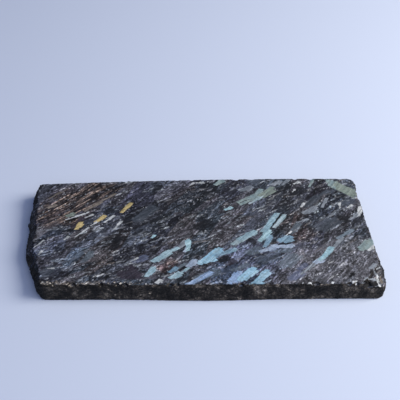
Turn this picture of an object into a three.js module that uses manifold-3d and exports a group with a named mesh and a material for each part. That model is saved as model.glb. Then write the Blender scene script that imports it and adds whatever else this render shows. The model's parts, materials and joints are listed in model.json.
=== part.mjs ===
// A rough slab of nuummite: one flat piece of dark amphibole rock, sawn on its two faces and its two long
// sides, and left as it broke at its two ends. Millimetres, +Z up. The origin is at the middle of the
// underside, +X runs along the slab and +Y across it, away from the viewer.
import * as THREE from "three";
import { ImprovedNoise } from "three/addons/math/ImprovedNoise.js";
import { mergeVertices } from "three/addons/utils/BufferGeometryUtils.js";
import Module from "manifold-3d";

const THICKNESS = 8.4;
const FRONT_Y = { left: -30.4, right: -29.7 }; // top edge of the sawn front side, which isn't quite square
const BACK_Y = { left: 28.4, middle: 32.2, right: 32.0 }; // the back side bows out by about a millimetre
const FRONT_LEFT_X = -63.0;
const FRONT_RIGHT_X = 71.3;
const BACK_LEFT_X = -71.5;
const BACK_RIGHT_X = 66.5;
const EDGE_WEAR = 0.25; // how far the sharp edges are rubbed back

// Top edge of the two broken ends, from the front corner to the back one.
const RIGHT_END = [
  [74.3, -28.2],
  [75.2, -24.4],
  [75.1, -20.2],
  [74.0, -18.0],
  [73.3, -11.7],
  [72.3, 0.3],
  [71.5, 6.8],
  [70.6, 12.9],
  [69.9, 21.5],
  [69.8, 27.6],
];
const LEFT_END = [
  [-65.9, -27.6],
  [-67.4, -20.5],
  [-69.1, -15.0],
  [-70.7, -11.0],
  [-71.0, -4.6],
  [-71.1, 2.7],
  [-72.1, 8.5],
  [-72.4, 16.7],
  [-73.4, 22.3],
  [-73.4, 26.2],
];

// How far the broken ends and the back side lean out below their top edges.
const FLARE = { leftEnd: 4.1, rightEnd: 0.4, backLeft: 0.3 };
const FLARE_FULLNESS = 0.45; // below 1, the left end's flare stays full until close to its corners
// The saw ran a little askew, so the front side leans out evenly to its foot, most of it about its middle.
const FRONT_LEAN = { foot: 1.3, bow: 0.8, bowX: 2, bowReach: 24 };
const WALL = [
  // height as a share of the thickness, and the share of the flare that the ends reach there
  [0.0, 0.72],
  [0.06, 0.84],
  [0.24, 1.0],
  [0.46, 0.95],
  [0.68, 0.66],
  [0.87, 0.26],
  [0.97, 0.04],
  [1.0, 0.0],
];

const FOLIATION_DEG = 45; // the crystals lie along this direction, seen from above
const RIBS = { along: 11, across: 3.1, up: 6.3 }; // size of the ribs that the rock breaks in
const SPLINTERS = { along: 5.3, across: 1.4, up: 2.9, share: 0.55, shift: 7.7 }; // finer ones over them
const BREAK_ROUGHNESS = 0.75; // relief of the broken ends
const SAW_ROUGHNESS = 0.07; // relief of the sawn sides
const CHIP_ROUGHNESS = 0.3; // relief inside a chip
const LEDGE_ROUGHNESS = 0.55; // relief of the broken corner
const END_STEP = 1.25; // spacing of points round the broken ends
const SIDE_STEP = 3.4; // spacing of points along the sawn sides

// The chips of the front edge that show, each with its place along X, its width, how far it bites into the
// top face and how far it drops down the side.
const FRONT_CHIPS = [
  { x: -52.1, width: 2.6, bite: 1.5, drop: 1.6 },
  { x: -40.3, width: 1.8, bite: 1.0, drop: 1.4 },
  { x: -33.9, width: 1.5, bite: 1.1, drop: 1.0 },
  { x: -30.7, width: 2.0, bite: 0.9, drop: 1.7 },
  { x: -12.7, width: 1.7, bite: 1.0, drop: 1.3 },
  { x: -9.5, width: 1.5, bite: 0.8, drop: 1.0 },
  { x: 5.7, width: 1.4, bite: 0.8, drop: 1.0 },
  { x: 16.1, width: 2.1, bite: 0.9, drop: 1.2 },
  { x: 46.3, width: 3.0, bite: 1.4, drop: 1.1 },
  { x: 59.9, width: 1.7, bite: 1.2, drop: 1.5 },
  { x: 62.9, width: 1.5, bite: 1.3, drop: 1.1 },
  { x: 67.5, width: 3.8, bite: 3.3, drop: 2.7 }, // the dark pit beside the broken corner
];

// How a chip's splinter is fitted to its width, bite and drop, and how it is turned from one to the next.
const CHIP_FIT = { width: 0.62, drop: 1.15, above: 0.15, turn: 0.25, turnRate: 9 };
const SPLINTER_RADIUS = 1.12; // a facetted ball whose flats lie about one from its middle

// The smaller chips scattered all round, on the top edge and, fewer of them, on the bottom one.
const SCATTERED = {
  width: [0.7, 2.0],
  bite: [0.65, 1.25],
  drop: [0.5, 1.2],
  turn: [-0.25, 0.25],
  outside: 0.3,
  above: 0.15,
};
const TOP_CHIP_SPACING = 6.5;
const BOTTOM_CHIP_SPACING = 18;
const CHIP_SEED = 20;

// The front right corner broke away in a ledge: a low step down from the top face, then a rough floor that
// slopes off towards the corner.
const LEDGE = { middleOfStep: [69.9, -23.6], runs: 16, reach: 14, step: 0.9, slopeDeg: 10, facesDeg: -34 };
const LEDGE_GRID = [11, 13, 4]; // how finely its block is divided
const LEDGE_CLEARANCE = 8; // how far the cut reaches up, well past the top face
const MERGE_WITHIN = 1e-4; // corners closer than this are one

const noise = new ImprovedNoise();
const foliation = THREE.MathUtils.degToRad(FOLIATION_DEG);
const { clamp, lerp, degToRad } = THREE.MathUtils;

// Relief of broken rock, from about -1 to 1: ribs drawn out along the foliation, with splinters over them.
function fracture(x, y, z) {
  const along = x * Math.cos(foliation) + y * Math.sin(foliation);
  const across = y * Math.cos(foliation) - x * Math.sin(foliation);
  const relief = (size, shift) =>
    noise.noise(along / size.along + shift, across / size.across, z / size.up + shift);
  return relief(RIBS, 0) + SPLINTERS.share * relief(SPLINTERS, SPLINTERS.shift);
}

// Moves each corner of a shape by the fracture relief, so that a cut made with it isn't smooth.
function roughened(geometry, depth) {
  const corners = geometry.getAttribute("position");
  const corner = new THREE.Vector3();
  for (let i = 0; i < corners.count; i++) {
    const { x, y, z } = corner.fromBufferAttribute(corners, i);
    const push = new THREE.Vector3(fracture(z, x, y), fracture(y, z, x), fracture(x, y, z));
    corner.addScaledVector(push, depth);
    corners.setXYZ(i, corner.x, corner.y, corner.z);
  }
  return geometry;
}

// A small repeatable random source, so that the chips fall in the same places every time.
function randomSource(seed) {
  let state = seed;
  return () => {
    state = (state * 1664525 + 1013904223) % 4294967296;
    return state / 4294967296;
  };
}

const point = ([x, y]) => new THREE.Vector2(x, y);

// Points along a curve at about the given spacing, without its last one.
function pointsAlong(curve, step) {
  const count = Math.max(1, Math.round(curve.getLength() / step));
  return curve.getSpacedPoints(count).slice(0, -1);
}

// A run of straight lines through the given corners.
function brokenLine(corners) {
  const path = new THREE.Path();
  path.setFromPoints(corners.map(point));
  return path;
}

// Where the front side's top edge runs.
function frontEdgeY(x) {
  return lerp(FRONT_Y.left, FRONT_Y.right, (x - FRONT_LEFT_X) / (FRONT_RIGHT_X - FRONT_LEFT_X));
}

// The slab's top outline, anticlockwise seen from above, starting at the left of the front side.
function topOutline() {
  const frontLeft = point([FRONT_LEFT_X, FRONT_Y.left]);
  const frontRight = point([FRONT_RIGHT_X, FRONT_Y.right]);
  const backRight = point([BACK_RIGHT_X, BACK_Y.right]);
  const backLeft = point([BACK_LEFT_X, BACK_Y.left]);
  const rightFirst = point(RIGHT_END[0]);
  const rightLast = point(RIGHT_END.at(-1));
  const leftFirst = point(LEFT_END[0]);
  const leftLast = point(LEFT_END.at(-1));
  const bent = (from, to, x, y) => new THREE.QuadraticBezierCurve(from, point([x, y]), to);
  return [
    ...pointsAlong(new THREE.LineCurve(frontLeft, frontRight), SIDE_STEP),
    ...pointsAlong(bent(frontRight, rightFirst, rightFirst.x, FRONT_Y.right), END_STEP),
    ...pointsAlong(brokenLine(RIGHT_END), END_STEP),
    ...pointsAlong(bent(rightLast, backRight, rightLast.x, BACK_Y.right), END_STEP),
    ...pointsAlong(bent(backRight, backLeft, 0, BACK_Y.middle), SIDE_STEP),
    ...pointsAlong(bent(backLeft, leftLast, leftLast.x, BACK_Y.left), END_STEP),
    ...pointsAlong(brokenLine([...LEFT_END].reverse()), END_STEP),
    ...pointsAlong(bent(leftFirst, frontLeft, leftFirst.x, FRONT_Y.left), END_STEP),
  ];
}

// The direction out of the slab at each point of an outline, smoothed over its neighbours.
function outwards(outline) {
  const reach = 2;
  return outline.map((_, i) => {
    const before = outline.at(i - reach);
    const after = outline[(i + reach) % outline.length];
    return new THREE.Vector2(after.y - before.y, before.x - after.x).normalize();
  });
}

// How far the wall leans out at one point of the outline, which faces out that way, at one height.
function flareAt(p, out, height, lean) {
  const upTheEnd = clamp((p.y - FRONT_Y.left) / (BACK_Y.left - FRONT_Y.left), 0, 1);
  const towardsLeft = clamp((FRONT_RIGHT_X - p.x) / (FRONT_RIGHT_X - FRONT_LEFT_X), 0, 1);
  const leftEnd = FLARE.leftEnd * Math.sin(Math.PI * upTheEnd) ** FLARE_FULLNESS;
  const end = (out.x < 0 ? leftEnd : FLARE.rightEnd) * lean;
  const bow = FRONT_LEAN.bow * Math.exp(-(((p.x - FRONT_LEAN.bowX) / FRONT_LEAN.bowReach) ** 2));
  const front = (FRONT_LEAN.foot + bow) * (1 - height);
  const side = out.y < 0 ? front : FLARE.backLeft * towardsLeft * lean;
  return end * out.x ** 2 + side * out.y ** 2;
}

// The body: rings of points from the underside to the top face, capped flat at both.
function slabBody() {
  const outline = topOutline();
  const out = outwards(outline);
  const positions = [];
  const rings = WALL.map(([height, lean]) => {
    const z = height * THICKNESS;
    const wear = height === 0 || height === 1 ? EDGE_WEAR : 0;
    return outline.map((p, i) => {
      const roughness = lerp(SAW_ROUGHNESS, BREAK_ROUGHNESS, out[i].x ** 2);
      const offset = flareAt(p, out[i], height, lean) + roughness * fracture(p.x, p.y, z) - wear;
      positions.push(p.x + out[i].x * offset, p.y + out[i].y * offset, z);
      return positions.length / 3 - 1;
    });
  });
  const faces = [];
  const count = outline.length;
  for (let r = 0; r + 1 < rings.length; r++)
    for (let i = 0; i < count; i++) {
      const next = (i + 1) % count;
      faces.push(rings[r][i], rings[r][next], rings[r + 1][next]);
      faces.push(rings[r][i], rings[r + 1][next], rings[r + 1][i]);
    }
  const flat = (ring) => ring.map((v) => new THREE.Vector2(positions[3 * v], positions[3 * v + 1]));
  const top = rings.at(-1);
  const bottom = rings[0];
  for (const [a, b, c] of THREE.ShapeUtils.triangulateShape(flat(top), []))
    faces.push(top[a], top[b], top[c]);
  for (const [a, b, c] of THREE.ShapeUtils.triangulateShape(flat(bottom), []))
    faces.push(bottom[a], bottom[c], bottom[b]);
  const geometry = new THREE.BufferGeometry();
  geometry.setAttribute("position", new THREE.Float32BufferAttribute(positions, 3));
  geometry.setIndex(faces);
  return geometry;
}

// The splinter of rock that a chip took away: a few flat facets, drawn out and turned, that the edge is cut
// with.
function chipCutter({ at, size, turn }) {
  const splinter = new THREE.IcosahedronGeometry(SPLINTER_RADIUS, 0);
  splinter.rotateX(at[0] + at[1]);
  splinter.scale(...size);
  splinter.rotateZ(turn);
  splinter.translate(...at);
  return roughened(splinter, CHIP_ROUGHNESS);
}

function frontChip({ x, width, bite, drop }) {
  return chipCutter({
    at: [x, frontEdgeY(x), THICKNESS + CHIP_FIT.above * drop],
    size: [CHIP_FIT.width * width, bite, CHIP_FIT.drop * drop],
    turn: CHIP_FIT.turn * Math.sin(CHIP_FIT.turnRate * x),
  });
}

// Small chips scattered along an outline, at the height of its edge.
function scatteredChips(outline, edgeZ, spacing, random) {
  const out = outwards(outline);
  const between = ([low, high]) => lerp(low, high, random());
  const chips = [];
  let sinceLast = 0;
  outline.forEach((p, i) => {
    sinceLast += p.distanceTo(outline[(i + 1) % outline.length]);
    if (sinceLast < spacing * (0.5 + random())) return;
    sinceLast = 0;
    const alongTheEdge = out[i].angle() + Math.PI / 2;
    chips.push(
      chipCutter({
        at: [p.x + out[i].x * SCATTERED.outside, p.y + out[i].y * SCATTERED.outside, edgeZ],
        size: [between(SCATTERED.width), between(SCATTERED.bite), between(SCATTERED.drop)],
        turn: alongTheEdge + between(SCATTERED.turn),
      }),
    );
  });
  return chips;
}

function ledgeCutter() {
  const { middleOfStep, runs, reach, step, slopeDeg, facesDeg } = LEDGE;
  const block = new THREE.BoxGeometry(reach, runs, LEDGE_CLEARANCE, ...LEDGE_GRID);
  block.translate(reach / 2, 0, LEDGE_CLEARANCE / 2);
  block.rotateY(degToRad(slopeDeg));
  block.rotateZ(degToRad(facesDeg));
  block.translate(...middleOfStep, THICKNESS - step);
  return roughened(block, LEDGE_ROUGHNESS);
}

const wasm = await Module();
wasm.setup();

function toSolid(geometry) {
  geometry.deleteAttribute("normal");
  geometry.deleteAttribute("uv");
  const merged = mergeVertices(geometry, MERGE_WITHIN);
  return new wasm.Manifold(
    new wasm.Mesh({
      numProp: 3,
      vertProperties: merged.getAttribute("position").array,
      triVerts: new Uint32Array(merged.index.array),
    }),
  );
}

function toGeometry(solid) {
  const mesh = solid.getMesh();
  const geometry = new THREE.BufferGeometry();
  geometry.setAttribute("position", new THREE.Float32BufferAttribute(mesh.vertProperties, 3));
  geometry.setIndex(new THREE.Uint32BufferAttribute(mesh.triVerts, 1));
  geometry.computeVertexNormals();
  return geometry;
}

function buildSlab() {
  const outline = topOutline();
  const random = randomSource(CHIP_SEED);
  const cutters = [
    ...FRONT_CHIPS.map(frontChip),
    ...scatteredChips(outline, THICKNESS + SCATTERED.above, TOP_CHIP_SPACING, random),
    ...scatteredChips(outline, -SCATTERED.above, BOTTOM_CHIP_SPACING, random),
    ledgeCutter(),
  ];
  let stone = toSolid(slabBody());
  for (const cutter of cutters) stone = stone.subtract(toSolid(cutter));
  return toGeometry(stone);
}

const nuummite = new THREE.MeshStandardMaterial({ color: 0x3c3e46, roughness: 0.45, metalness: 0 });
const slab = new THREE.Mesh(buildSlab(), nuummite);
slab.name = "slab";

const group = new THREE.Group();
group.add(slab);
export default group;
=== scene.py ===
# The looks of a rough slab of nuummite: dark amphibole rock, sawn on its two faces and its two long sides and
# left as it broke at its two ends. The scene is in metres. The rock's patterns are in millimetres.
import json
import math

import bpy
import numpy
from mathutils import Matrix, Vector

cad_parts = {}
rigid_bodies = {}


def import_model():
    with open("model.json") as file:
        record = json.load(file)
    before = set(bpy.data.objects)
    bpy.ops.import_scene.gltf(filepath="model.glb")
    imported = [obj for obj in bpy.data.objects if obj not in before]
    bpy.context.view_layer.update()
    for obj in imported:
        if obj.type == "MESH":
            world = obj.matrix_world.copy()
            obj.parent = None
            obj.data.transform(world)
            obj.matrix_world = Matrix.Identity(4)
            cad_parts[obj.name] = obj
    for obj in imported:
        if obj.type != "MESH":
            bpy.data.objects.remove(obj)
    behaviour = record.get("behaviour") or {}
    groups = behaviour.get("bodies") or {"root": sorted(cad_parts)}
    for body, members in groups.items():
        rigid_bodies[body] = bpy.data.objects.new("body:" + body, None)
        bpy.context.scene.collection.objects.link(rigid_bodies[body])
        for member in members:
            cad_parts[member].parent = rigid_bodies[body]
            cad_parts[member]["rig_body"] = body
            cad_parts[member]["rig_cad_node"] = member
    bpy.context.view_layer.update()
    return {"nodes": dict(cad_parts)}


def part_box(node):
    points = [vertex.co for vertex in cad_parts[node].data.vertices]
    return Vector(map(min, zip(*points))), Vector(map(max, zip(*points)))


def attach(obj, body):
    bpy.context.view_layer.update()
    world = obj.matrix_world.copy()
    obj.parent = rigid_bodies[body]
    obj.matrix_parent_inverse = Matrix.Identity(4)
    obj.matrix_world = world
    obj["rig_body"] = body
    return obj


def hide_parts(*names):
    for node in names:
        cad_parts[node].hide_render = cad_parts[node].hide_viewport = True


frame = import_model()
node = frame["nodes"]["slab"]
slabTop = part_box("slab")[1].z
mm = 0.001


def linear(hexColour):  # sRGB hex to the linear colour that a socket takes
    parts = [int(hexColour[i : i + 2], 16) / 255 for i in (1, 3, 5)]
    return [p / 12.92 if p < 0.04045 else ((p + 0.055) / 1.055) ** 2.4 for p in parts] + [1.0]


def addNode(tree, kind, inputs=None, stops=None, out=None, **settings):  # one node and what feeds it
    made = tree.nodes.new(kind)
    for name, value in settings.items():
        setattr(made, name, value)
    for name, value in (inputs or {}).items():
        if isinstance(value, bpy.types.NodeSocket):
            tree.links.new(value, made.inputs[name])
        else:
            made.inputs[name].default_value = value
    for i, (place, value) in enumerate(stops or []):
        ramp = made.color_ramp.elements
        stop = ramp[i] if i < len(ramp) else ramp.new(place)
        stop.position = place
        stop.color = linear(value) if isinstance(value, str) else [value, value, value, 1.0]
    return made if out is None else made.outputs[out]


def selectOnly(thing):
    bpy.ops.object.select_all(action="DESELECT")
    thing.select_set(True)
    bpy.context.view_layer.objects.active = thing


# The camera looks down on the slab as the photo does, with a field of view of 28 degrees.
camera = {"place": (-0.0005, -0.2334, 0.2597), "tilt": 45.0, "lens": 72.0, "sensor": 36.0, "near": 0.01}
bpy.ops.object.camera_add(location=camera["place"], rotation=(math.radians(camera["tilt"]), 0, 0))
photoCamera = bpy.context.active_object
photoCamera.data.lens = camera["lens"]
photoCamera.data.sensor_width = camera["sensor"]
photoCamera.data.clip_start = camera["near"]
bpy.context.scene.camera = photoCamera
bpy.context.scene.view_settings.view_transform = "Standard"
print("camera placed")


# A soft window to the right, a wider and weaker light high up behind the camera, and a dim pale room.
studio = {
    "window": {"place": (0.60, 0.02, 0.47), "size": 0.42, "watts": 7.5, "colour": "#FFF9EC"},
    "ceiling": {"place": (0.34, -0.46, 0.70), "size": 0.9, "watts": 3.0, "colour": "#F0F4FF"},
    "room": "#AFC5FA",
    "roomStrength": 0.25,
    "floorSize": 5.0,
    "floor": "#C6D0E6",
    "floorRoughness": 0.8,
    "floorSpecular": 0.0,
}


def lightTheStudio():
    for name in ("window", "ceiling"):
        lamp = studio[name]
        bpy.ops.object.light_add(type="AREA", location=lamp["place"])
        made = bpy.context.active_object
        made.name = name
        made.data.shape = "SQUARE"
        made.data.size = lamp["size"]
        made.data.energy = lamp["watts"]
        made.data.color = linear(lamp["colour"])[:3]
        made.rotation_euler = (-made.location).to_track_quat("-Z", "Y").to_euler()
    world = bpy.data.worlds.new("room")
    bpy.context.scene.world = world
    world.use_nodes = True
    background = world.node_tree.nodes["Background"]
    background.inputs["Color"].default_value = linear(studio["room"])
    background.inputs["Strength"].default_value = studio["roomStrength"]


def layTheFloor():
    bpy.ops.mesh.primitive_plane_add(size=studio["floorSize"], location=(0, 0, 0))
    floor = bpy.context.active_object
    floor.name = "floor"
    paint = bpy.data.materials.new("mattePaleBoard")  # smooth painted board: even colour and no gloss
    paint.use_nodes = True
    shader = paint.node_tree.nodes["Principled BSDF"]
    shader.inputs["Base Color"].default_value = linear(studio["floor"])
    shader.inputs["Roughness"].default_value = studio["floorRoughness"]
    shader.inputs["Specular IOR Level"].default_value = studio["floorSpecular"]
    floor.data.materials.append(paint)


lightTheStudio()
layTheFloor()
print("studio lit")


# The slab's skin: the sawn faces stay flat, the edges are nibbled and the two ends break in splinters that
# run along the rock's grain.
skin = {
    "voxel": 0.36 * mm,
    "grainTurn": 45.0,
    "ribs": {"size": (6.0, 1.9, 2.6), "depth": 0.55, "outside": 0.65},
    "splinters": {"size": (2.4, 0.6, 1.0), "depth": 0.45, "outside": 0.6},
    "notches": {"size": (2.3, 1.6, 1.6), "depth": 0.9, "outside": 0.45},
    "nibbles": {"size": (0.95, 0.8, 0.8), "depth": 0.6, "outside": 0.45},
    "hackles": {"size": (1.5, 1.0, 1.0), "depth": 0.3, "outside": 0.7},
    "levels": 8,
    "smoothAngle": 38.0,
    "merge": 0.001 * mm,
    "endFacing": (1.25, 0.15),  # how strongly a face that looks along X counts as broken
    "levelFacing": 0.95,  # faces that look up or down more than this aren't broken ends
    "edgeDepth": 1.3 * mm,  # how far down from the top the edge is nibbled
    "edgeFacing": 1.05,
    "sideFacing": 0.6,
    "flatFacing": 0.99999,
    "rings": 4,  # rings of small faces kept round each flat middle
}


def copyOfTheSolid():
    selectOnly(node)
    bpy.ops.object.duplicate()
    piece = bpy.context.active_object
    bpy.ops.object.parent_clear(type="CLEAR")
    piece.name = piece.data.name = "nuummite_slab"
    del piece["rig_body"]
    del piece["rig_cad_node"]
    piece.data.materials.clear()
    bpy.ops.object.mode_set(mode="EDIT")
    bpy.ops.mesh.select_all(action="SELECT")
    bpy.ops.mesh.remove_doubles(threshold=skin["merge"])
    bpy.ops.object.mode_set(mode="OBJECT")
    remesh = piece.modifiers.new("fine skin", "REMESH")
    remesh.mode = "VOXEL"
    remesh.voxel_size = skin["voxel"]
    bpy.ops.object.modifier_apply(modifier=remesh.name)
    return piece


def placesAndNormals(piece):
    count = len(piece.data.vertices)
    places = numpy.zeros(count * 3, numpy.float32)
    normals = numpy.zeros(count * 3, numpy.float32)
    piece.data.vertices.foreach_get("co", places)
    piece.data.vertices.foreach_get("normal", normals)
    return places.reshape(-1, 3), normals.reshape(-1, 3)


def addWeights(piece, name, weights):  # a vertex group, in a few steps of weight
    group = piece.vertex_groups.new(name=name)
    steps = numpy.round(numpy.clip(weights, 0, 1) * skin["levels"]).astype(int)
    for step in range(1, skin["levels"] + 1):
        group.add(numpy.nonzero(steps == step)[0].tolist(), step / skin["levels"], "REPLACE")


def breakUp(piece, name, group):  # pushes a group in and out by a pattern drawn out along the grain
    cut = skin[name]
    bpy.ops.object.empty_add(rotation=(0, 0, math.radians(skin["grainTurn"])))
    grain = bpy.context.active_object
    grain.scale = [s * mm for s in cut["size"]]
    pattern = bpy.data.textures.new(name, "CLOUDS")
    pattern.noise_type = "HARD_NOISE"
    pattern.noise_basis = "VORONOI_F1" if group == "edges" else "BLENDER_ORIGINAL"
    pattern.noise_scale = 1.0
    pattern.noise_depth = 1
    selectOnly(piece)
    push = piece.modifiers.new(name, "DISPLACE")
    push.texture = pattern
    push.texture_coords = "OBJECT"
    push.texture_coords_object = grain
    push.strength = cut["depth"] * mm
    push.mid_level = 1.0 - cut["outside"]
    push.vertex_group = group
    bpy.context.view_layer.update()
    bpy.ops.object.modifier_apply(modifier=push.name)
    bpy.data.objects.remove(grain)


def thinTheFlats(piece):  # the flat middles of the two sawn faces need no small faces
    selectOnly(piece)
    mesh = piece.data
    bpy.ops.object.mode_set(mode="EDIT")
    bpy.ops.mesh.select_mode(type="FACE")
    bpy.ops.mesh.select_all(action="DESELECT")
    bpy.ops.object.mode_set(mode="OBJECT")
    normals = numpy.zeros(len(mesh.polygons) * 3, numpy.float32)
    mesh.polygons.foreach_get("normal", normals)
    flat = numpy.abs(normals.reshape(-1, 3)[:, 2]) > skin["flatFacing"]
    mesh.polygons.foreach_set("select", flat)
    bpy.ops.object.mode_set(mode="EDIT")
    for _ in range(skin["rings"]):
        bpy.ops.mesh.select_less()
    bpy.ops.mesh.dissolve_faces(use_verts=True)
    bpy.ops.object.mode_set(mode="OBJECT")


def makeSlab():
    piece = copyOfTheSolid()
    places, normals = placesAndNormals(piece)
    level = numpy.abs(normals[:, 2])
    gain, less = skin["endFacing"]
    ends = numpy.clip(numpy.abs(normals[:, 0]) * gain - less, 0, 1) * (level < skin["levelFacing"])
    nearTop = numpy.clip(1 - (slabTop - places[:, 2]) / skin["edgeDepth"], 0, 1)
    edges = numpy.clip(skin["edgeFacing"] - level, 0, 1) * nearTop
    addWeights(piece, "ends", ends)
    addWeights(piece, "edges", edges)
    addWeights(piece, "sides", (level < skin["sideFacing"]) * 1.0)
    breakUp(piece, "ribs", "ends")
    breakUp(piece, "splinters", "ends")
    breakUp(piece, "notches", "edges")
    breakUp(piece, "nibbles", "edges")
    breakUp(piece, "hackles", "sides")
    thinTheFlats(piece)
    piece.vertex_groups.clear()
    places, _ = placesAndNormals(piece)
    places[:, 2] = numpy.clip(places[:, 2], 0.0, slabTop)
    piece.data.vertices.foreach_set("co", places.ravel())
    selectOnly(piece)
    bpy.ops.object.shade_smooth_by_angle(angle=math.radians(skin["smoothAngle"]))
    piece.data.calc_loop_triangles()
    print("slab skinned,", len(piece.data.loop_triangles), "triangles")
    return piece


# Sawn nuummite: gedrite and anthophyllite blades in a felt of finer needles. The saw left the face satin, the
# blades' shine from cyan to gold is painted sheen in their colour, and broken or side-on rock looks nearly
# black.
rock = {
    "ends": (-75.0, 75.0),  # the grain turns from one end to the other
    "grainTurn": (40.0, 52.0),
    "bend": 2.6,
    "bendSize": 17.0,
    "looseReach": 13.0,  # how far the zones' outlines wander, and in what size of pattern
    "looseSize": 9.0,
    "wobble": 0.9,  # the same for the crystals' outlines
    "wobbleSize": 2.4,
    "listOrigin": (0.5, 0.0, 0.0),  # the lists below are measured from half a millimetre beside the middle
    "roughness": (0.62, 0.42),
    "ior": 1.64,
    "specular": 0.14,
    "slant": math.radians(24.0),  # how far the small laths turn off the grain
    "relief": 0.9,
    "grainRelief": 0.03,
    "tintShare": 0.8,  # how much of each pattern is laid on or added
    "streakShare": 0.75,
    "clumpShare": 0.12,
    "crumbReach": 2.2,
    "crumbSlope": 0.045,  # the crumbs' edge runs forward towards the right
    "stripeShare": 0.4,
    "fibreShare": 0.45,
    "ribShare": 0.09,
    "sideTexture": 0.7,
}

# Patterns of random cells: how long, wide and deep a cell is in millimetres, and where the pattern starts. All
# but the crumbs lie along the grain, or near it.
cellPatterns = {
    "needles": ((1.7, 0.5, 0.5), 3.0),
    "grains": ((0.7, 0.55, 0.55), 11.0),
    "blades": ((6.5, 1.8, 1.8), 29.0),
    "beds": ((17.0, 6.0, 6.0), 47.0),
    "laths": ((3.4, 0.8, 0.8), 97.0),
    "streaks": ((7.0, 0.55, 0.55), 61.0),
    "crumbs": ((0.8, 0.6, 0.6), 19.0),
    "shards": ((13.0, 2.6, 2.6), 83.0),
}

# Soft patterns, with scales in one over millimetres.
cloudPatterns = {
    "drift": {"Scale": 0.35, "Detail": 3.0},
    "cracks": {"Scale": 1.0, "Detail": 2.0},
    "mottle": {"Scale": 0.22, "Detail": 5.0, "Roughness": 0.66},
    "rough": {"Scale": 0.9, "Detail": 4.0},
}
crackSize = (0.6, 1.1, 1.1)

# Colours by a pattern's value, and for the needles and the grains how many times as bright.
shades = {
    "body": [(0.1, "#1C1D22"), (0.35, "#2C2E34"), (0.55, "#3A3D44"), (0.75, "#474A53"), (0.95, "#5E636C")],
    "tint": [(0.0, "#C4B5AC"), (0.3, "#BCB6BC"), (0.55, "#B3B9C4"), (0.8, "#ABBAC1"), (1.0, "#B2ACC2")],
    "needle": [(0.0, 0.5), (0.5, 0.9), (1.0, 2.0)],
    "grain": [(0.0, 0.35), (0.5, 0.95), (1.0, 2.2)],
    "fleck": [(0.2, "#62666F"), (0.6, "#838892"), (0.9, "#B4B8C0")],
    "lath": [(0.0, "#54504F"), (0.4, "#5C6069"), (0.8, "#6F757E"), (1.0, "#8F959B")],
    "streak": [(0.1, "#19181A"), (0.45, "#2E2B2A"), (0.7, "#524B46"), (0.86, "#857A71"), (1.0, "#B8AC9F")],
    "crumb": [(0.1, "#1E1C1B"), (0.4, "#494440"), (0.7, "#7D756D"), (1.0, "#BDB4A9")],
    "shard": [(0.1, "#6D909E"), (0.35, "#6C9ABB"), (0.55, "#7692BD"), (0.75, "#6F8489"), (0.95, "#907C45")],
    "side": [(0.38, "#0A0909"), (0.48, "#1A1817"), (0.57, "#2F2B28"), (0.65, "#4D4741"), (0.74, "#7E766D")],
}

# How far each pattern covers or shades, from one of its values to another. The rim's, the crumbs' and the
# leftward shade's values are places in millimetres.
ranges = {
    "calm": {"From Min": 0.1, "From Max": 0.4, "To Min": 0.4, "To Max": 1.0},
    "fleck": {"From Min": 0.99, "From Max": 1.03, "To Max": 0.6},
    "lath": {"From Min": 0.84, "From Max": 0.87, "To Max": 0.75},
    "flat": {"From Min": 0.62, "From Max": 0.86},
    "rim": {"From Min": 8.0, "From Max": 8.25},
    "top": {"From Min": 0.5, "From Max": 0.75},
    "crumb": {"From Min": -29.6, "From Max": -31.0, "To Max": 0.85},
    "drift": {"From Min": 0.45, "From Max": 0.95},
    "crack": {"From Min": 0.4, "From Max": 1.05, "To Min": 0.62, "To Max": 1.28},
    "shard": {"From Min": 0.86, "From Max": 0.88},
    "leftwardShade": {"From Min": -76.0, "From Max": -5.0, "To Min": 0.3, "To Max": 1.0},
    "shine": {"From Min": 0.08, "From Max": 0.3},
}

# Colours of the single crystals: two colours that each crystal drifts between. The blue, green, lilac and gold
# ones are painted sheen, the schiller that the blades shine with only when turned to the light; the near
# black, grey, tan and bone ones are the crystals' own colour.
crystalColoursAndSheen = {
    "night": ("#0D0E12", "#1B1D24"),
    "plum": ("#26232C", "#3A3540"),
    "slate": ("#3C434E", "#4D5560"),
    "stone": ("#586470", "#6C7884"),
    "violet": ("#565E7A", "#6A7490"),
    "tan": ("#5A5450", "#7C756F"),
    "smoke": ("#666D77", "#888F99"),
    "lilac": ("#7E8DA4", "#A3B0C4"),
    "mist": ("#7E949D", "#A1B0BA"),
    "sage": ("#6C7F86", "#8C9A9A"),
    "olive": ("#6A7773", "#828C86"),
    "teal": ("#7896A6", "#9CB4BF"),
    "aqua": ("#80A3B3", "#A4BFC8"),
    "sky": ("#76A0BC", "#9BB9CB"),
    "periwinkle": ("#758FB6", "#97AAC6"),
    "steel": ("#5F7D95", "#859FB1"),
    "gold": ("#95865C", "#C0AE80"),
    "bone": ("#92979B", "#C2C6CB"),
    # painted glints: bright specks where light catches chips on the front edge
    "paintedEdgeGlint": ("#C2C6CC", "#E0E3E8"),
}

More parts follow.
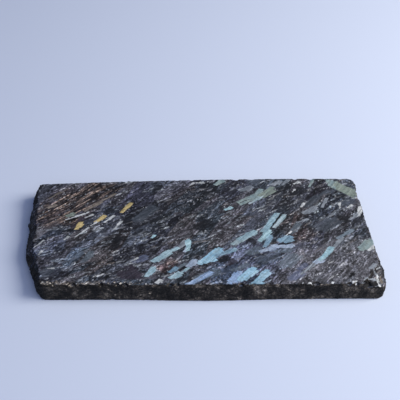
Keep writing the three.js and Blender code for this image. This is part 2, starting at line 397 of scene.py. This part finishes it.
# Broad smooth crystals turned away from the light: dark plates and grey ones, with soft edges, listed as the
# crystals below are. The felt shows a little through the dark ones, and more through the grey ones.
darkPlates = [
    ("night", (-36.6, -11.8), (-34.4, -3.6), 4.4),
    ("plum", (-33.4, -25.4), (-23.8, -24.6), 5.6),
    ("plum", (-31.0, -21.6), (-26.8, -20.8), 3.6),
    ("night", (-2.0, 0.0), (5.2, 5.2), 5.6),
    ("night", (-41.8, 9.6), (-37.8, 12.6), 3.8),
    ("night", (-32.6, 3.4), (-30.2, 9.4), 4.0),
    ("night", (41.0, 21.0), (47.0, 25.4), 5.2),
    ("night", (20.4, -6.8), (23.8, -6.9), 4.2),
    ("night", (60.2, 6.2), (64.8, 6.8), 5.2),
    ("night", (8.0, -18.2), (12.4, -15.2), 3.8),
    ("night", (-21.4, 21.0), (-18.0, 27.6), 3.4),
    ("night", (-73.6, 19.0), (-72.8, 30.0), 2.6),
    ("night", (74.9, -17.4), (76.0, -27.0), 2.4),
    ("plum", (-54.6, 1.0), (-50.4, 7.4), 3.4),
    ("plum", (-35.4, 12.4), (-33.0, 16.8), 2.0),
    ("plum", (10.6, -20.0), (14.8, -17.2), 3.2),
]
greyPlates = [
    ("slate", (21.4, 28.8), (27.6, 30.0), 4.6),
    ("slate", (50.4, -0.4), (59.4, 6.6), 6.6),
    ("slate", (46.8, 13.4), (52.6, 20.6), 4.0),
    ("slate", (-28.0, 4.6), (-19.6, 14.2), 5.0),
    ("slate", (63.0, 14.8), (68.4, 18.2), 5.0),
    ("slate", (23.6, -17.8), (32.6, -14.6), 5.6),
    ("slate", (52.4, 20.2), (58.0, 23.6), 2.6),
    ("slate", (-64.0, -25.2), (-59.8, -20.2), 4.4),
    ("slate", (57.4, -9.4), (60.6, -5.8), 3.4),
    ("stone", (34.0, -21.2), (40.2, -13.8), 6.2),
    ("stone", (-48.4, -18.6), (-44.8, -12.6), 3.4),
    ("stone", (28.0, -9.6), (30.4, -3.6), 2.6),
    ("stone", (31.0, -12.6), (38.6, -11.4), 3.0),
    ("stone", (19.6, -14.0), (25.6, -10.4), 4.4),
    ("stone", (13.0, -23.0), (20.0, -19.4), 2.4),
    ("stone", (-1.6, -27.4), (8.4, -22.6), 4.2),
    ("stone", (38.8, -2.6), (43.0, 4.2), 3.4),
    ("violet", (36.4, -28.0), (42.0, -23.2), 4.2),
    ("violet", (40.2, -22.4), (44.2, -19.2), 2.8),
    ("violet", (-27.6, -18.4), (-21.6, -15.0), 3.4),
    ("smoke", (-9.4, -22.8), (-3.4, -18.4), 1.4),
]

# The crystals that stand out, each from one end to the other and with its width, in millimetres, in the
# order that they lie over each other.
crystals = [
    ("tan", (-66.6, 13.2), (-63.6, 14.8), 1.8),
    ("tan", (-50.6, 11.4), (-43.8, 16.6), 1.6),
    ("smoke", (45.8, 9.6), (51.2, 13.4), 2.8),
    ("smoke", (-9.2, -10.9), (-5.8, -6.6), 2.3),
    ("smoke", (55.3, -11.3), (60.4, -4.7), 1.7),
    ("stone", (58.6, -5.0), (65.4, -0.2), 1.6),
    ("smoke", (41.2, -24.6), (47.0, -19.4), 1.3),
    ("smoke", (18.0, 24.0), (23.6, 26.0), 2.4),
    ("lilac", (47.8, -18.7), (51.2, -16.4), 2.8),
    ("lilac", (-5.2, -21.3), (-1.7, -17.2), 2.6),
    ("stone", (-9.6, -22.2), (-6.2, -19.2), 1.1),
    ("lilac", (25.4, -12.6), (31.4, -9.9), 2.0),
    ("lilac", (30.6, -9.7), (39.2, -9.1), 2.4),
    ("lilac", (-6.3, -12.4), (-5.1, -10.6), 1.7),
    ("teal", (-19.0, -18.0), (-12.2, -12.3), 2.9),
    ("teal", (-13.6, -13.0), (-9.4, -10.7), 1.5),
    ("teal", (-21.3, -25.8), (-18.8, -21.2), 2.5),
    ("aqua", (-4.9, -11.6), (-5.0, -6.0), 2.3),
    ("aqua", (-20.2, -4.6), (-19.4, -3.5), 1.3),
    ("bone", (-17.2, -29.2), (-15.6, -28.0), 2.2),
    ("teal", (-11.7, -26.9), (-7.8, -24.2), 2.6),
    ("teal", (-8.2, -24.2), (-4.8, -21.6), 1.1),
    ("steel", (-12.3, -23.6), (-9.4, -21.4), 2.0),
    ("night", (-8.4, -22.6), (-6.2, -21.0), 1.2),
    ("sky", (0.4, -19.2), (8.9, -10.9), 3.6),
    ("sky", (2.6, -17.6), (6.7, -15.4), 3.6),
    ("steel", (7.0, -14.9), (15.0, -11.2), 1.8),
    ("mist", (14.0, -8.6), (19.6, -4.0), 2.6),
    ("teal", (16.6, -6.0), (23.8, -1.1), 2.7),
    ("periwinkle", (-4.8, -30.3), (4.8, -23.8), 2.1),
    ("periwinkle", (12.4, -29.4), (16.6, -23.6), 4.2),
    ("sky", (16.4, -28.0), (22.6, -21.6), 4.0),
    ("sky", (21.8, -30.6), (24.8, -27.8), 3.8),
    ("sky", (23.6, -28.6), (27.8, -22.8), 3.4),
    ("aqua", (18.2, -30.4), (21.6, -30.3), 0.9),
    ("steel", (27.4, -9.6), (30.0, -3.6), 2.2),
    ("aqua", (25.6, -6.6), (29.9, -0.4), 2.6),
    ("stone", (29.4, 3.8), (31.6, 7.6), 2.2),
    ("teal", (27.2, -1.2), (34.0, 9.4), 2.7),
    ("mist", (32.2, 1.4), (36.8, 8.6), 2.0),
    ("night", (31.6, 3.4), (35.0, 8.4), 0.7),
    ("night", (33.4, -8.5), (37.8, -7.6), 1.0),
    ("steel", (33.9, -6.9), (39.2, -4.4), 4.0),
    ("sage", (16.9, 16.6), (24.0, 20.6), 1.6),
    ("sage", (18.0, 15.2), (27.4, 20.6), 1.5),
    ("mist", (22.0, 15.8), (28.6, 20.4), 1.1),
    ("sage", (23.6, 19.6), (27.6, 24.6), 2.3),
    ("olive", (26.8, 20.6), (32.8, 25.8), 2.2),
    ("olive", (28.4, 19.6), (33.4, 23.6), 1.3),
    ("sage", (57.6, 29.8), (63.0, 26.2), 4.4),
    ("olive", (61.0, 27.6), (69.9, 21.2), 4.8),
    ("sage", (7.4, 27.6), (10.6, 31.0), 2.6),
    ("aqua", (11.2, 12.0), (13.9, 13.3), 1.7),
    ("smoke", (32.8, 27.6), (36.6, 29.8), 2.2),
    ("smoke", (37.4, 27.6), (40.0, 30.6), 1.4),
    ("sage", (49.6, 26.8), (51.6, 32.0), 1.3),
    ("bone", (-1.4, 28.8), (1.2, 29.1), 1.0),
    ("bone", (-4.4, 27.6), (-3.0, 28.7), 0.9),
    ("bone", (42.6, 28.2), (44.8, 29.4), 1.0),
    ("bone", (41.7, 23.2), (42.5, 24.6), 0.7),
    ("bone", (44.8, 13.8), (45.8, 15.6), 1.3),
    ("smoke", (53.9, 13.8), (56.4, 18.8), 1.4),
    ("bone", (61.5, 13.2), (61.9, 15.8), 0.9),
    ("bone", (65.3, 13.4), (67.0, 14.6), 0.9),
    ("bone", (69.3, 8.4), (70.8, 13.6), 2.1),
    ("smoke", (65.3, 6.2), (68.6, 9.0), 1.3),
    ("smoke", (55.6, 7.2), (58.8, 10.2), 0.9),
    ("smoke", (42.0, 4.2), (46.6, 6.1), 1.0),
    ("smoke", (41.4, -1.0), (42.4, 1.4), 0.9),
    ("bone", (37.0, -3.2), (38.9, -1.4), 0.6),
    ("aqua", (50.0, -17.2), (55.4, -10.3), 2.4),
    ("sage", (67.8, -11.6), (73.0, -6.2), 4.6),
    ("bone", (70.8, -11.7), (73.4, -9.4), 1.5),
    ("gold", (-52.6, 0.4), (-51.2, 4.0), 2.6),
    ("gold", (-45.0, 4.5), (-41.4, 8.0), 1.8),
    ("bone", (-46.9, 2.4), (-45.0, 4.3), 0.7),
    ("gold", (-34.1, 10.4), (-30.5, 15.8), 1.9),
    ("olive", (-57.8, 7.9), (-54.8, 9.4), 2.0),
    ("bone", (-57.9, 5.9), (-50.6, 9.3), 0.7),
    ("bone", (-49.6, 7.2), (-46.8, 8.8), 0.7),
    ("bone", (-50.0, 9.3), (-49.0, 10.3), 0.7),
    ("tan", (-43.2, 17.6), (-38.0, 21.8), 0.9),
    ("bone", (-41.0, 4.4), (-37.5, 8.2), 1.0),
    ("bone", (-36.5, 0.6), (-34.2, 4.7), 1.1),
    ("bone", (-52.9, -4.1), (-48.0, 0.8), 0.6),
    ("bone", (-69.8, -10.2), (-66.2, -6.4), 0.6),
    ("bone", (-57.3, -5.7), (-56.0, -4.2), 0.9),
    ("bone", (-66.9, -14.0), (-66.0, -12.4), 0.9),
    ("bone", (-62.1, -21.8), (-60.2, -21.5), 0.7),
    ("tan", (-67.0, 19.0), (-62.5, 22.8), 0.9),
    ("bone", (-28.4, -17.9), (-26.0, -16.2), 0.7),
    # painted glints on the chipped front edge, laid as small crystals
    ("paintedEdgeGlint", (43.0, -30.2), (44.4, -29.6), 1.3),
    ("paintedEdgeGlint", (53.0, -30.0), (53.5, -29.1), 0.8),
    ("paintedEdgeGlint", (61.1, -30.0), (61.7, -28.6), 0.6),
    ("paintedEdgeGlint", (62.4, -30.0), (62.9, -28.6), 0.6),
    ("smoke", (69.8, -21.6), (72.2, -19.4), 1.8),
    ("night", (61.0, -25.8), (62.3, -24.6), 1.4),
    ("smoke", (65.4, -29.2), (67.6, -26.6), 0.7),
    ("smoke", (67.2, -26.7), (71.0, -26.5), 0.7),
    ("night", (66.2, -29.8), (69.0, -27.7), 1.9),
    ("night", (69.2, -28.8), (71.8, -28.5), 2.2),
    ("night", (69.4, -25.8), (70.4, -23.4), 1.5),
    ("smoke", (71.0, -21.8), (72.4, -25.0), 0.9),
    ("bone", (72.3, -24.6), (72.2, -27.2), 0.8),
    ("paintedEdgeGlint", (72.0, -27.8), (72.8, -29.8), 0.6),
    ("tan", (73.4, -24.8), (73.8, -27.6), 1.0),
]

# How each list is laid: splinters at the ends, steps along the sides, softness of the edge, and strength.
laying = [
    (darkPlates, 0.9, 0.6, 0.8, 0.85),
    (greyPlates, 1.2, 0.5, 0.7, 0.55),
    (crystals, 1.5, 0.45, 0.18, 1.0),
]

# The brown streaks' corner and the corner of painted sheen, a grey veil that evens the felt: the middle, and
# one over the half widths each way.
brownCorner = {"middle": (-55.0, 15.5), "along": (0.85 / 20, 0.5 / 20), "across": (-0.5 / 9, 0.85 / 9)}
paintedSheenCorner = {"middle": (55.0, -19.0), "along": (0.94 / 22, 0.34 / 22), "across": (-0.34 / 13, 0.94 / 13)}
paintedSheen = {"colour": "#5A5A60", "share": 0.5}

# Zones where the rock is of another tone: a tint, how bright, the middle, the half widths along and across,
# and the turn in degrees. The tints are the rock's own; the brightness, higher along the front and lower at
# the back, is partly painted sheen.
zones = [
    ("#979090", 0.75, (-54.0, 16.0), (22.0, 13.0), 30.0),
    ("#91908F", 0.74, (-10.0, 12.0), (24.0, 12.0), 30.0),
    ("#939091", 0.78, (4.0, 24.0), (26.0, 9.0), 20.0),
    ("#A18C84", 1.15, (-13.8, -19.2), (6.4, 3.0), 40.0),
    ("#8E94A0", 1.38, (22.0, -19.0), (24.0, 12.0), 20.0),
    ("#9B8E88", 0.88, (40.0, 1.0), (7.0, 10.0), 10.0),
    ("#95918F", 1.85, (57.0, -19.0), (19.0, 12.0), 20.0),
    ("#928E8C", 0.64, (46.0, 24.0), (18.0, 9.0), 15.0),
    ("#96928E", 1.15, (-36.0, -18.0), (14.0, 7.0), 35.0),
    ("#8E9196", 1.25, (-62.0, -14.0), (12.0, 12.0), 45.0),
    ("#8E9292", 1.15, (58.0, 14.0), (12.0, 7.0), 40.0),
]

# The outline of one crystal, which is a bar whose ends lean and which is cut back unevenly in strips.
outlineCut = {
    "lean": 0.45,
    "endStrip": 0.7,
    "sideStrip": 2.6,
    "turns": 91.7,  # these three numbers turn a strip's place into chance
    "start": 0.6,
    "scatter": 437.6,
    "outside": 0.25,  # how far past the bar the crystal reaches where nothing is cut back
    "longer": 0.35,  # the share of the splinters' length that the bar gains at each end
}

# A zone fades out between about 0.6 and 1.2 times its half widths; these are the squares.
zoneFade = {"From Min": 1.35, "From Max": 0.35}

# How two colours meet: one over the other, or multiplied.
colourMix = {"data_type": "RGBA", "out": 2}
colourTimes = {"data_type": "RGBA", "blend_type": "MULTIPLY", "out": 2}


def addSockets(tree, names, kind):
    for name in names:
        tree.interface.new_socket(name, in_out="INPUT", socket_type=kind)


def distances(tree, given):  # how far a place is from the middle, along and across
    offset = addNode(
        tree, "ShaderNodeVectorMath", {0: given["Place"], 1: given["Middle"]}, out=0, operation="SUBTRACT"
    )
    for way in ("Along", "Across"):
        product = {0: offset, 1: given[way]}
        yield addNode(tree, "ShaderNodeVectorMath", product, out="Value", operation="DOT_PRODUCT")


def crystalOutline():  # the patch that one crystal covers: a leaning bar, splintered ends and stepped sides
    tree = bpy.data.node_groups.new("crystalOutline", "ShaderNodeTree")
    addSockets(tree, ("Place", "Middle", "Along", "Across"), "NodeSocketVector")
    addSockets(tree, ("Half Length", "Half Width", "Splinters", "Steps", "Edge"), "NodeSocketFloat")
    tree.interface.new_socket("Cover", in_out="OUTPUT", socket_type="NodeSocketFloat")
    given = addNode(tree, "NodeGroupInput").outputs
    along, across = distances(tree, given)
    leaning = {0: across, 1: outlineCut["lean"], 2: along}
    lean = addNode(tree, "ShaderNodeMath", leaning, out=0, operation="MULTIPLY_ADD")
    past = []
    for distance, other, size, half, ragged in (
        (lean, across, outlineCut["endStrip"], "Half Length", "Splinters"),
        (across, along, outlineCut["sideStrip"], "Half Width", "Steps"),
    ):
        strip = addNode(tree, "ShaderNodeMath", {0: other, 1: size}, out=0, operation="SNAP")
        swinging = {0: strip, 1: outlineCut["turns"], 2: outlineCut["start"]}
        swing = addNode(tree, "ShaderNodeMath", swinging, out=0, operation="MULTIPLY_ADD")
        swing = addNode(tree, "ShaderNodeMath", {0: swing}, out=0, operation="SINE")
        swing = addNode(
            tree, "ShaderNodeMath", {0: swing, 1: outlineCut["scatter"]}, out=0, operation="MULTIPLY"
        )
        chance = addNode(tree, "ShaderNodeMath", {0: swing}, out=0, operation="FRACT")
        reach = addNode(tree, "ShaderNodeMath", {0: distance}, out=0, operation="ABSOLUTE")
        over = addNode(tree, "ShaderNodeMath", {0: reach, 1: given[half]}, out=0, operation="SUBTRACT")
        breaking = {0: chance, 1: given[ragged], 2: over}
        past.append(addNode(tree, "ShaderNodeMath", breaking, out=0, operation="MULTIPLY_ADD"))
    outside = addNode(tree, "ShaderNodeMath", {0: past[0], 1: past[1]}, out=0, operation="MAXIMUM")
    within = {0: outlineCut["outside"], 1: outside}
    inside = addNode(tree, "ShaderNodeMath", within, out=0, operation="SUBTRACT")
    cover = addNode(
        tree,
        "ShaderNodeMapRange",
        {"Value": inside, "From Min": 0.0, "From Max": given["Edge"]},
        out=0,
        interpolation_type="SMOOTHSTEP",
    )
    addNode(tree, "NodeGroupOutput", {"Cover": cover})
    return tree


def softZone():  # a round patch that fades out; Along and Across are one over its half widths long
    tree = bpy.data.node_groups.new("softZone", "ShaderNodeTree")
    addSockets(tree, ("Place", "Middle", "Along", "Across"), "NodeSocketVector")
    tree.interface.new_socket("Cover", in_out="OUTPUT", socket_type="NodeSocketFloat")
    given = addNode(tree, "NodeGroupInput").outputs
    total = 0.0
    for far in distances(tree, given):
        total = addNode(tree, "ShaderNodeMath", {0: far, 1: far, 2: total}, out=0, operation="MULTIPLY_ADD")
    cover = addNode(
        tree, "ShaderNodeMapRange", {"Value": total, **zoneFade}, out=0, interpolation_type="SMOOTHSTEP"
    )
    addNode(tree, "NodeGroupOutput", {"Cover": cover})
    return tree


def cells(tree, place, name):  # random blades of one size: three values for each
    size, start = cellPatterns[name]
    stretched = addNode(
        tree,
        "ShaderNodeMapping",
        {"Vector": place, "Location": (start, start * 0.7, start * 1.3), "Scale": [1 / s for s in size]},
        out=0,
    )
    blades = addNode(tree, "ShaderNodeTexVoronoi", {"Vector": stretched, "Scale": 1.0}, out="Color")
    return addNode(tree, "ShaderNodeSeparateColor", {0: blades}).outputs


def spread(tree, place, size, reach):  # moves each place by up to half the reach, by a soft pattern
    clouds = {"Vector": place, "Scale": 1 / size, "Detail": 2.0}
    soft = addNode(tree, "ShaderNodeTexNoise", clouds, out="Color")
    centred = {0: soft, 1: (0.5, 0.5, 0.5)}
    push = addNode(tree, "ShaderNodeVectorMath", centred, out=0, operation="SUBTRACT")
    moved = {0: push, 1: (reach, reach, 0.0), 2: place}
    return addNode(tree, "ShaderNodeVectorMath", moved, out=0, operation="MULTIPLY_ADD")


def zoneCover(tree, zone, place, middle, along, across):
    patch = addNode(tree, "ShaderNodeGroup", {"Place": place}, node_tree=zone)
    patch.inputs["Middle"].default_value = (*middle, 0.0)
    patch.inputs["Along"].default_value = (*along, 0.0)
    patch.inputs["Across"].default_value = (*across, 0.0)
    return patch.outputs[0]


def crystalCover(tree, outline, place, ends, width, splinters, steps, edge):
    (x0, y0), (x1, y1) = ends
    length = math.hypot(x1 - x0, y1 - y0)
    dx, dy = (x1 - x0) / length, (y1 - y0) / length
    patch = addNode(tree, "ShaderNodeGroup", {"Place": place}, node_tree=outline)
    patch.inputs["Middle"].default_value = ((x0 + x1) / 2, (y0 + y1) / 2, 0)
    patch.inputs["Along"].default_value = (dx, dy, 0)
    patch.inputs["Across"].default_value = (-dy, dx, 0)
    patch.inputs["Half Length"].default_value = length / 2 + splinters * outlineCut["longer"]
    patch.inputs["Half Width"].default_value = width / 2
    patch.inputs["Splinters"].default_value = splinters
    patch.inputs["Steps"].default_value = steps
    patch.inputs["Edge"].default_value = edge
    return patch.outputs["Cover"]


def placesAndGrain(tree, where):  # places in millimetres, and turned so that X runs along the grain
    inMm = {0: where, 1: (1 / mm, 1 / mm, 1 / mm), 2: rock["listOrigin"]}
    place = addNode(tree, "ShaderNodeVectorMath", inMm, out=0, operation="MULTIPLY_ADD")
    spot = addNode(tree, "ShaderNodeSeparateXYZ", {0: place}).outputs
    bent = spread(tree, place, rock["bendSize"], rock["bend"])
    left, right = rock["ends"]
    first, last = [-math.radians(degrees) for degrees in rock["grainTurn"]]
    turning = {"From Min": left, "From Max": right, "To Min": first, "To Max": last}
    turn = addNode(tree, "ShaderNodeMapRange", {"Value": spot["X"], **turning}, out=0)
    turned = {"Vector": bent, "Angle": turn}
    return place, spot, addNode(tree, "ShaderNodeVectorRotate", turned, out=0, rotation_type="Z_AXIS")


def needleFelt(tree, grain):  # the felt's colour in blades and beds, and its texture of needles and grains
    needles = cells(tree, grain, "needles")
    grains = cells(tree, grain, "grains")
    blades = cells(tree, grain, "blades")
    beds = cells(tree, grain, "beds")
    body = addNode(tree, "ShaderNodeMath", {0: beds[0], 1: blades[0]}, out=0, operation="ADD")
    body = addNode(tree, "ShaderNodeMath", {0: body, 1: 0.5}, out=0, operation="MULTIPLY")
    bodyColour = addNode(tree, "ShaderNodeValToRGB", {0: body}, shades["body"], out=0)
    tint = addNode(tree, "ShaderNodeValToRGB", {0: beds[1]}, shades["tint"], out=0)
    tinting = {0: rock["tintShare"], 6: bodyColour, 7: tint}
    tinted = addNode(tree, "ShaderNodeMix", tinting, out=2, data_type="RGBA", blend_type="OVERLAY")
    needleShade = addNode(tree, "ShaderNodeValToRGB", {0: needles[0]}, shades["needle"], out=0)
    grainShade = addNode(tree, "ShaderNodeValToRGB", {0: grains[0]}, shades["grain"], out=0)
    fine = {"grains": grains}
    fine["calm"] = addNode(tree, "ShaderNodeMapRange", {"Value": blades[1], **ranges["calm"]}, out=0)
    fine["texture"] = addNode(tree, "ShaderNodeMix", {0: 1.0, 6: needleShade, 7: grainShade}, **colourTimes)
    clumping = {0: blades[2], 1: rock["clumpShare"], 2: grains[1]}
    clump = addNode(tree, "ShaderNodeMath", clumping, out=0, operation="MULTIPLY_ADD")
    # pale specks: painted glints where light catches the faces of single needles
    fine["fleckCover"] = addNode(tree, "ShaderNodeMapRange", {"Value": clump, **ranges["fleck"]}, out=0)
    fine["fleckColour"] = addNode(tree, "ShaderNodeValToRGB", {0: grains[2]}, shades["fleck"], out=0)
    return tinted, fine


def smallLaths(tree, grain, colour):  # they lie a little across the grain
    slanted = {"Vector": grain, "Angle": rock["slant"]}
    aslant = addNode(tree, "ShaderNodeVectorRotate", slanted, out=0, rotation_type="Z_AXIS")
    laths = cells(tree, aslant, "laths")
    lathCover = addNode(tree, "ShaderNodeMapRange", {"Value": laths[0], **ranges["lath"]}, out=0)
    lathColour = addNode(tree, "ShaderNodeValToRGB", {0: laths[1]}, shades["lath"], out=0)
    return addNode(tree, "ShaderNodeMix", {0: lathCover, 6: colour, 7: lathColour}, **colourMix)


def withTexture(tree, colour, fine):  # the fine texture of the felt, and pale specks in it that are painted glints
    colour = addNode(tree, "ShaderNodeMix", {0: fine["calm"], 6: colour, 7: fine["texture"]}, **colourTimes)
    paintedGlints = {0: fine["fleckCover"], 6: colour, 7: fine["fleckColour"]}
    return addNode(tree, "ShaderNodeMix", paintedGlints, **colourMix)


def facesAndTop(tree, normal, height):  # the two sawn faces against the sides, and the top against the rest
    facing = addNode(tree, "ShaderNodeSeparateXYZ", {0: normal}, out="Z")
    level = addNode(tree, "ShaderNodeMath", {0: facing}, out=0, operation="ABSOLUTE")
    flat = addNode(tree, "ShaderNodeMapRange", {"Value": level, **ranges["flat"]}, out=0)
    rim = addNode(tree, "ShaderNodeMapRange", {"Value": height, **ranges["rim"]}, out=0)
    flat = addNode(tree, "ShaderNodeMath", {0: flat, 1: rim}, out=0, operation="MAXIMUM")
    top = addNode(tree, "ShaderNodeMapRange", {"Value": facing, **ranges["top"]}, out=0)
    return flat, addNode(tree, "ShaderNodeMath", {0: top, 1: rim}, out=0, operation="MAXIMUM")


def brownStreaks(tree, colour, streaks, zone, loose):  # in the corner where the needles are longest
    streakColour = addNode(tree, "ShaderNodeValToRGB", {0: streaks[0]}, shades["streak"], out=0)
    corner = zoneCover(tree, zone, loose, **brownCorner)
    brown = addNode(tree, "ShaderNodeMath", {0: corner, 1: rock["streakShare"]}, out=0, operation="MULTIPLY")
    return addNode(tree, "ShaderNodeMix", {0: brown, 6: colour, 7: streakColour}, **colourMix)


def tonesByZone(tree, colour, zone, loose):  # zones of another tone, partly painted sheen, and a veil of painted sheen that evens the felt at the front right
    for hexTint, gain, middle, (rx, ry), degrees in zones:
        tone = linear(hexTint)[:3]
        scale = gain * 3 / sum(tone)
        dx, dy = math.cos(math.radians(degrees)), math.sin(math.radians(degrees))
        cover = zoneCover(tree, zone, loose, middle, (dx / rx, dy / rx), (-dy / ry, dx / ry))
        toned = {0: cover, 6: colour, 7: [c * scale for c in tone] + [1.0]}
        colour = addNode(tree, "ShaderNodeMix", toned, **colourTimes)
    # painted sheen: the felt at the front right is mixed halfway to an even grey
    sheenCover = zoneCover(tree, zone, loose, **paintedSheenCorner)
    sheenCover = addNode(tree, "ShaderNodeMath", {0: sheenCover, 1: paintedSheen["share"]}, out=0, operation="MULTIPLY")
    return addNode(tree, "ShaderNodeMix", {0: sheenCover, 6: colour, 7: linear(paintedSheen["colour"])}, **colourMix)


def frontCrumbs(tree, colour, place, spot):  # pale tan crumbs along the front edge's left half
    crumbs = cells(tree, place, "crumbs")
    reaching = {0: crumbs[1], 1: rock["crumbReach"], 2: spot["Y"]}
    crumbEdge = addNode(tree, "ShaderNodeMath", reaching, out=0, operation="MULTIPLY_ADD")
    sloping = {0: spot["X"], 1: rock["crumbSlope"], 2: crumbEdge}
    crumbFade = addNode(tree, "ShaderNodeMath", sloping, out=0, operation="MULTIPLY_ADD")
    crumbCover = addNode(tree, "ShaderNodeMapRange", {"Value": crumbFade, **ranges["crumb"]}, out=0)
    crumbColour = addNode(tree, "ShaderNodeValToRGB", {0: crumbs[0]}, shades["crumb"], out=0)
    return addNode(tree, "ShaderNodeMix", {0: crumbCover, 6: colour, 7: crumbColour}, **colourMix)


def driftAndStripes(tree, grain, streaks):  # what a crystal's two colours change by
    drift = addNode(tree, "ShaderNodeTexNoise", {"Vector": grain, **cloudPatterns["drift"]}, out=0)
    striping = {0: streaks[2], 1: rock["stripeShare"], 2: drift}
    striped = addNode(tree, "ShaderNodeMath", striping, out=0, operation="MULTIPLY_ADD")
    return addNode(tree, "ShaderNodeMapRange", {"Value": striped, **ranges["drift"]}, out=0)


def layCrystals(tree, colour, place, drift):  # the plates and the crystals, with outlines that wobble
    wobbly = spread(tree, place, rock["wobbleSize"], rock["wobble"])
    outline = crystalOutline()
    for things, splinters, steps, edge, strength in laying:
        for finish, start, end, width in things:
            first, second = crystalColoursAndSheen[finish]
            cover = crystalCover(tree, outline, wobbly, (start, end), width, splinters, steps, edge)
            if strength < 1:
                cover = addNode(tree, "ShaderNodeMath", {0: cover, 1: strength}, out=0, operation="MULTIPLY")
            between = {0: drift, 6: linear(first), 7: linear(second)}
            face = addNode(tree, "ShaderNodeMix", between, **colourMix)
            colour = addNode(tree, "ShaderNodeMix", {0: cover, 6: colour, 7: face}, **colourMix)
    return colour


def cracksAndFibres(tree, colour, grain, streaks):  # fine cracks across the crystals, and fibres along them
    crossing = {"Vector": grain, "Scale": [1 / s for s in crackSize]}
    crossed = addNode(tree, "ShaderNodeMapping", crossing, out=0)
    cracks = addNode(tree, "ShaderNodeTexNoise", {"Vector": crossed, **cloudPatterns["cracks"]}, out=0)
    fibres = {0: streaks[1], 1: rock["fibreShare"], 2: cracks}
    fibre = addNode(tree, "ShaderNodeMath", fibres, out=0, operation="MULTIPLY_ADD")
    crackShade = addNode(tree, "ShaderNodeMapRange", {"Value": fibre, **ranges["crack"]}, out=0)
    return addNode(tree, "ShaderNodeMix", {0: 1.0, 6: colour, 7: crackShade}, **colourTimes)


def underside(tree, felt, fine, grain):  # the same kinds of crystals, at random, their blue to gold colours painted sheen as on the top
    shards = cells(tree, grain, "shards")
    shardCover = addNode(tree, "ShaderNodeMapRange", {"Value": shards[0], **ranges["shard"]}, out=0)
    colour = withTexture(tree, felt, fine)
    shardColour = addNode(tree, "ShaderNodeValToRGB", {0: shards[1]}, shades["shard"], out=0)
    return addNode(tree, "ShaderNodeMix", {0: shardCover, 6: colour, 7: shardColour}, **colourMix)


def darkSides(tree, fine, grain, streaks, spot):  # nearly black and brown, darker towards the left, and darkest at the left end, which looks away from the window: there the darkening is painted shade
    mottle = addNode(tree, "ShaderNodeTexNoise", {"Vector": grain, **cloudPatterns["mottle"]}, out=0)
    ribbing = {0: streaks[1], 1: rock["ribShare"], 2: mottle}
    ribbed = addNode(tree, "ShaderNodeMath", ribbing, out=0, operation="MULTIPLY_ADD")
    dark = addNode(tree, "ShaderNodeValToRGB", {0: ribbed}, shades["side"], out=0)
    textured = {0: rock["sideTexture"], 6: dark, 7: fine["texture"]}
    dark = addNode(tree, "ShaderNodeMix", textured, **colourTimes)
    # painted shade: the sides are multiplied darker towards the left end, down to 0.3 there
    leftwardShade = addNode(tree, "ShaderNodeMapRange", {"Value": spot["X"], **ranges["leftwardShade"]}, out=0)
    return addNode(tree, "ShaderNodeMix", {0: 1.0, 6: dark, 7: leftwardShade}, **colourTimes)


def fineRelief(tree, flat, fine, place):  # a felted grain on the sawn faces, hackly on the rest
    rough = addNode(tree, "ShaderNodeTexNoise", {"Vector": place, **cloudPatterns["rough"]}, out=0)
    felting = {0: fine["grains"][0], 1: rock["grainRelief"]}
    relief = addNode(tree, "ShaderNodeMath", felting, out=0, operation="MULTIPLY")
    height = addNode(tree, "ShaderNodeMix", {0: flat, 2: rough, 3: relief}, out=0)
    return addNode(tree, "ShaderNodeBump", {"Height": height, "Distance": rock["relief"] * mm}, out=0)


def satinGloss(tree, colour):  # bright crystals are the smoothest
    shine = addNode(tree, "ShaderNodeRGBToBW", {0: colour}, out=0)
    dull, smooth = rock["roughness"]
    polished = {"Value": shine, **ranges["shine"], "To Min": dull, "To Max": smooth}
    return addNode(tree, "ShaderNodeMapRange", polished, out=0)


def sawnNuummite():
    material = bpy.data.materials.new("sawnNuummite")
    material.use_nodes = True
    tree = material.node_tree
    shader = tree.nodes["Principled BSDF"]
    where = addNode(tree, "ShaderNodeTexCoord").outputs
    place, spot, grain = placesAndGrain(tree, where["Object"])
    tinted, fine = needleFelt(tree, grain)
    felt = smallLaths(tree, grain, tinted)
    flat, top = facesAndTop(tree, where["Normal"], spot["Z"])
    loose = spread(tree, place, rock["looseSize"], rock["looseReach"])
    zone = softZone()
    streaks = cells(tree, grain, "streaks")
    colour = brownStreaks(tree, felt, streaks, zone, loose)
    colour = tonesByZone(tree, colour, zone, loose)
    colour = frontCrumbs(tree, colour, place, spot)
    drift = driftAndStripes(tree, grain, streaks)
    colour = withTexture(tree, colour, fine)
    colour = layCrystals(tree, colour, place, drift)
    colour = cracksAndFibres(tree, colour, grain, streaks)
    elsewhere = underside(tree, felt, fine, grain)
    colour = addNode(tree, "ShaderNodeMix", {0: top, 6: elsewhere, 7: colour}, **colourMix)
    dark = darkSides(tree, fine, grain, streaks, spot)
    colour = addNode(tree, "ShaderNodeMix", {0: flat, 6: dark, 7: colour}, **colourMix)
    tree.links.new(fineRelief(tree, flat, fine, place), shader.inputs["Normal"])
    tree.links.new(colour, shader.inputs["Base Color"])
    tree.links.new(satinGloss(tree, colour), shader.inputs["Roughness"])
    shader.inputs["IOR"].default_value = rock["ior"]
    shader.inputs["Specular IOR Level"].default_value = rock["specular"]
    return material


slab = makeSlab()
slab.data.materials.append(sawnNuummite())
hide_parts("slab")
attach(slab, "root")
print("slab finished")
